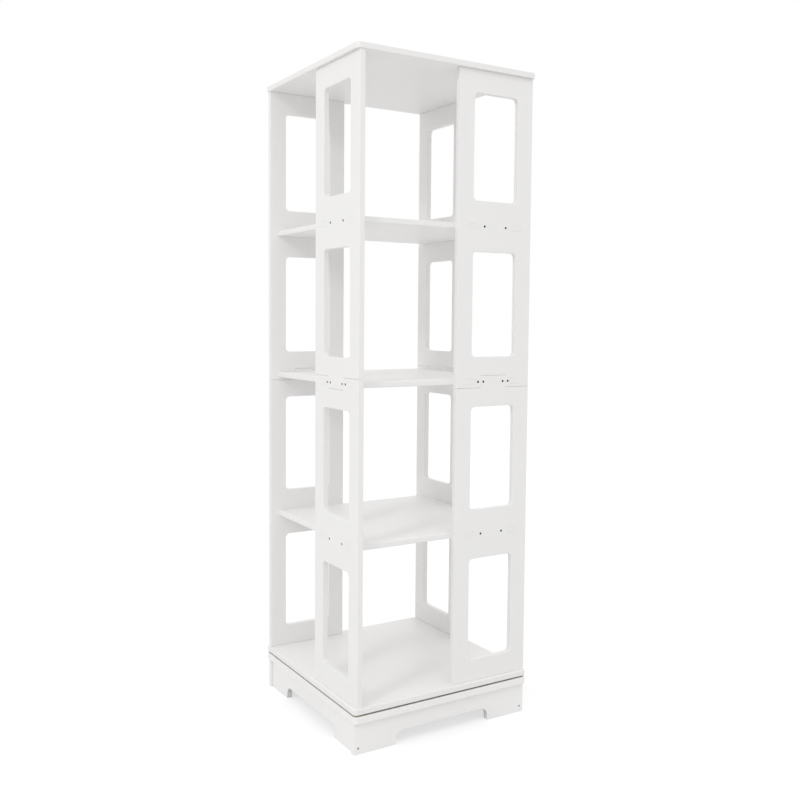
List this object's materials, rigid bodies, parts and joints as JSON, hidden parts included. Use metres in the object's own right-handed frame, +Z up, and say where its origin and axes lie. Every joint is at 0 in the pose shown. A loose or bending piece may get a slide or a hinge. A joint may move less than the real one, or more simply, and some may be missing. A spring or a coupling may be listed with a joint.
{
  "type": "revolving bookcase",
  "caption": "Tall square bookcase with open tiers and windowed side panels set like a pinwheel, which turns on a ball bearing over a low base with bracket feet.",
  "frame": {"origin": "on the floor, on the turning axis, at the middle of the base", "axes": "+Z up along the turning axis, -Y towards the front"},
  "size_m": [0.44, 0.44, 1.417],
  "materials": {
    "panel_paint": "satin white paint on fibreboard, very slightly uneven",
    "board_paint": "satin white paint on fibreboard, very slightly uneven",
    "base_paint": "satin white paint on fibreboard, very slightly uneven",
    "screw_zinc": "black zinc plating",
    "bright_zinc": "bright zinc plating",
    "bearing_steel": "zinc plated, rolled",
    "ball_steel": "polished",
    "cage_plastic": "moulded",
    "cap_plastic": "moulded, satin"
  },
  "bodies": {
    "base": {"base_board": "base_paint", "base_board_screws": "bright_zinc", "base_skirt_back": "base_paint", "base_skirt_front": "base_paint", "base_skirt_left": "base_paint", "base_skirt_right": "base_paint", "base_skirt_screws": "bright_zinc", "bearing_lower_ring": "bearing_steel", "bearing_lower_screws": "bright_zinc"},
    "ball_cage": {"bearing_balls": "ball_steel", "bearing_cage": "cage_plastic"},
    "case": {"bearing_upper_ring": "bearing_steel", "bearing_upper_screws": "bright_zinc", "deck": "board_paint", "deck_screws": "screw_zinc", "lower_panel_back": "panel_paint", "lower_panel_front": "panel_paint", "lower_panel_left": "panel_paint", "lower_panel_right": "panel_paint", "lower_shelf": "board_paint", "lower_shelf_screws": "screw_zinc", "middle_shelf": "board_paint", "middle_shelf_screws": "screw_zinc", "top_board": "board_paint", "top_screw_caps": "cap_plastic", "top_screws": "screw_zinc", "upper_panel_back": "panel_paint", "upper_panel_front": "panel_paint", "upper_panel_left": "panel_paint", "upper_panel_right": "panel_paint", "upper_shelf": "board_paint", "upper_shelf_screws": "screw_zinc"}
  },
  "joints": [
    {"name": "case_spin", "type": "hinge", "parent": "base", "child": "case", "pos_m": [0, 0, 0.0805], "axis": [0, 0, 1], "continuous": true},
    {"name": "cage_spin", "type": "hinge", "parent": "base", "child": "ball_cage", "pos_m": [0, 0, 0.0805], "axis": [0, 0, 1], "continuous": true}
  ],
  "couplings": [
    {"joint": "cage_spin", "follows": "case_spin", "ratio": 0.5}
  ]
}
